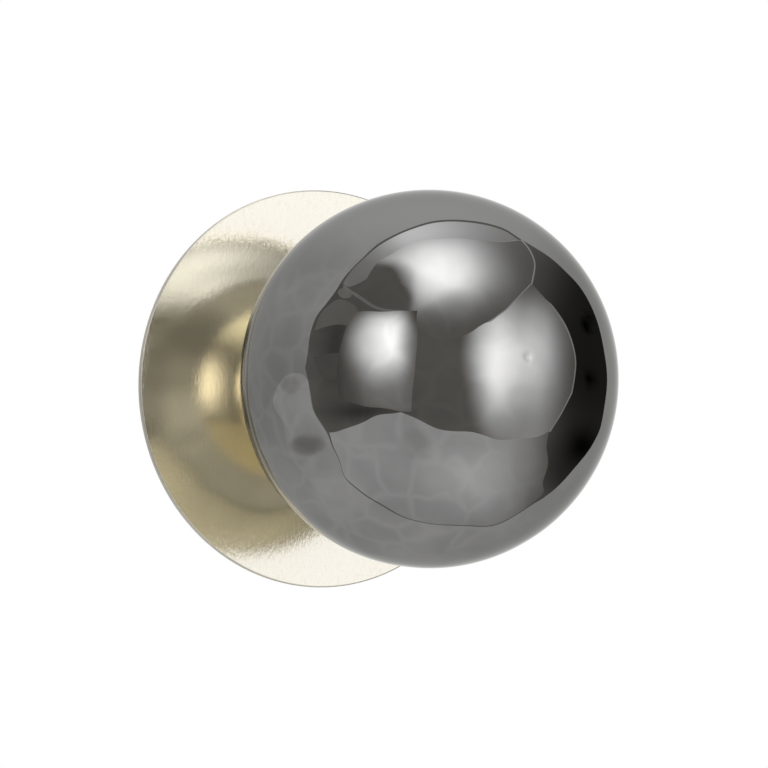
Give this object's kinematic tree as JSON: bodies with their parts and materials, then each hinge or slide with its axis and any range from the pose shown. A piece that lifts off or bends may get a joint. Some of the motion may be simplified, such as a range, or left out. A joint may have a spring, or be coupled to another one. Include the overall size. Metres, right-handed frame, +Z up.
{
  "type": "globe wall sconce",
  "caption": "Wall light with a mirrored smoke glass globe screwed into a brass holder in front of a flat round brass wall plate.",
  "frame": {"origin": "centre of the wall bracket's screw slots, on the wall plane, on the axis of the globe", "axes": "+Y points into the wall along the globe's axis, -Y points into the room, +Z is up, +X is to the right when the light is faced"},
  "size_m": [0.23, 0.248, 0.23],
  "materials": {
    "smoke_mirror_glass": "blown glass with a dark grey mirror coating",
    "pale_brass": "pale champagne brass, softly polished with a fine grain",
    "holder_brass": "satin brass",
    "terminal_brass": "plain machined brass",
    "zinc_steel": "bright zinc plated",
    "white_enamel": "satin white powder coat",
    "black_rubber": "matte rubber",
    "silicone": "translucent grey silicone",
    "socket_plastic": "heat-proof moulding",
    "porcelain": "unglazed electrical porcelain",
    "terminal_plastic": "translucent white nylon",
    "wire_brown": "smooth wire insulation",
    "wire_blue": "smooth wire insulation",
    "wire_green": "smooth green and yellow wire insulation",
    "clear_glass": "clear lamp glass",
    "lamp_cap": "nickel plated sheet",
    "black_glass": "opaque black lamp insulator",
    "filament": "yellow phosphor coating"
  },
  "bodies": {
    "bracket": {"wall_bracket": "zinc_steel", "cable_bush": "black_rubber", "earth_screw": "terminal_brass", "earth_washer": "terminal_brass"},
    "fixture": {"rear_housing": "white_enamel", "housing_screws": "zinc_steel", "housing_nuts": "zinc_steel", "wall_plate": "pale_brass", "plate_studs": "terminal_brass", "stud_nuts": "zinc_steel", "threaded_tube": "zinc_steel", "tube_nut": "zinc_steel", "tube_washer": "zinc_steel", "earth_tag": "terminal_brass", "globe_holder": "holder_brass", "holder_nut": "holder_brass", "socket_cap": "socket_plastic", "socket_core": "porcelain", "socket_skirt": "socket_plastic", "screw_shell": "terminal_brass", "centre_contact": "terminal_brass", "wire_posts": "terminal_brass", "terminal_block": "terminal_plastic", "terminal_inserts": "terminal_brass", "terminal_screws": "zinc_steel", "block_screws": "zinc_steel", "live_wire": "wire_brown", "neutral_wire": "wire_blue", "earth_wire": "wire_green"},
    "bulb": {"bulb_glass": "clear_glass", "bulb_cap": "lamp_cap", "bulb_insulator": "black_glass", "bulb_contact": "lamp_cap", "bulb_stem": "clear_glass", "bulb_leads": "lamp_cap", "bulb_filaments": "filament"},
    "gasket": {"neck_gasket": "silicone"},
    "globe": {"glass_globe": "smoke_mirror_glass"}
  },
  "joints": [
    {"name": "fixture_lift", "type": "slide", "parent": "bracket", "child": "fixture", "axis": [0, -1, 0], "range_m": [0, 0.06]},
    {"name": "bulb_lift", "type": "slide", "parent": "fixture", "child": "bulb", "axis": [0, -1, 0], "range_m": [0, 0.045]},
    {"name": "globe_lift", "type": "slide", "parent": "fixture", "child": "gasket", "axis": [0, -1, 0], "range_m": [0, 0.2]},
    {"name": "globe_turn", "type": "hinge", "parent": "gasket", "child": "globe", "pos_m": [0, -0.148, 0], "axis": [0, -1, 0], "range_deg": [0, 720]}
  ]
}
